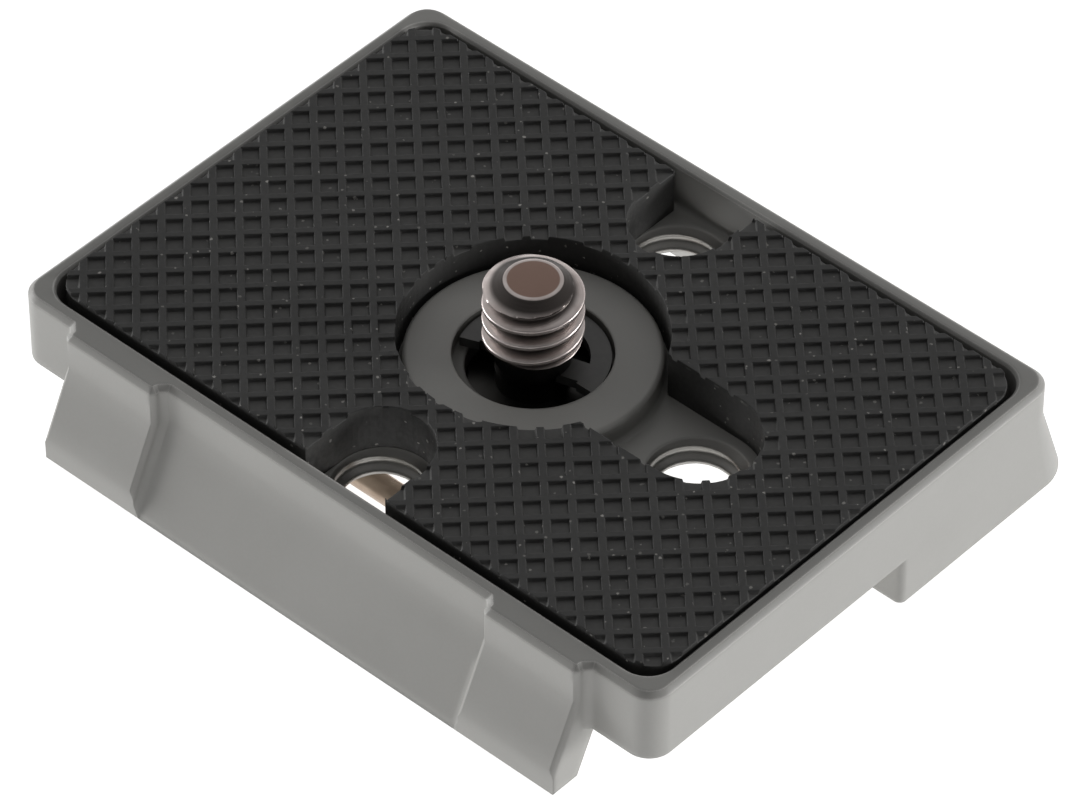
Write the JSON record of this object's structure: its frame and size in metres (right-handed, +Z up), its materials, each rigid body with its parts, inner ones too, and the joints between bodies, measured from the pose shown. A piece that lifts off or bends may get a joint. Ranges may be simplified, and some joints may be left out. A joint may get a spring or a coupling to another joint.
{
  "type": "tripod quick release plate",
  "caption": "Camera mounting plate with a flared dovetail foot, a waffle rubber pad, a captive camera screw held by a snap ring, and a folding wire handle underneath.",
  "frame": {"origin": "on the screw's axis, at the bottom of the foot", "axes": "+X along the plate toward the end with the spare hole, +Y toward the side with no lands, +Z up"},
  "size_m": [0.0524, 0.0432, 0.0136],
  "materials": {
    "plate": "grey satin paint",
    "pad": "matt",
    "screw": "plated",
    "clip": "blackened",
    "handle": "plated"
  },
  "bodies": {
    "plate": {"plate_body": "plate", "grip_pad": "pad"},
    "clip": {"retaining_clip": "clip"},
    "screw": {"camera_screw": "screw"},
    "handle": {"wire_handle": "handle"}
  },
  "joints": [
    {"name": "screw_float", "type": "slide", "parent": "plate", "child": "clip", "axis": [0, 0, 1], "range_m": [0, 0.0005]},
    {"name": "screw_turn", "type": "hinge", "parent": "clip", "child": "screw", "pos_m": [0, 0, 0.005], "axis": [0, 0, 1], "continuous": true},
    {"name": "handle_fold", "type": "hinge", "parent": "screw", "child": "handle", "pos_m": [0, 0, 0.00168], "axis": [1, 0, 0], "range_deg": [0, 180]}
  ]
}
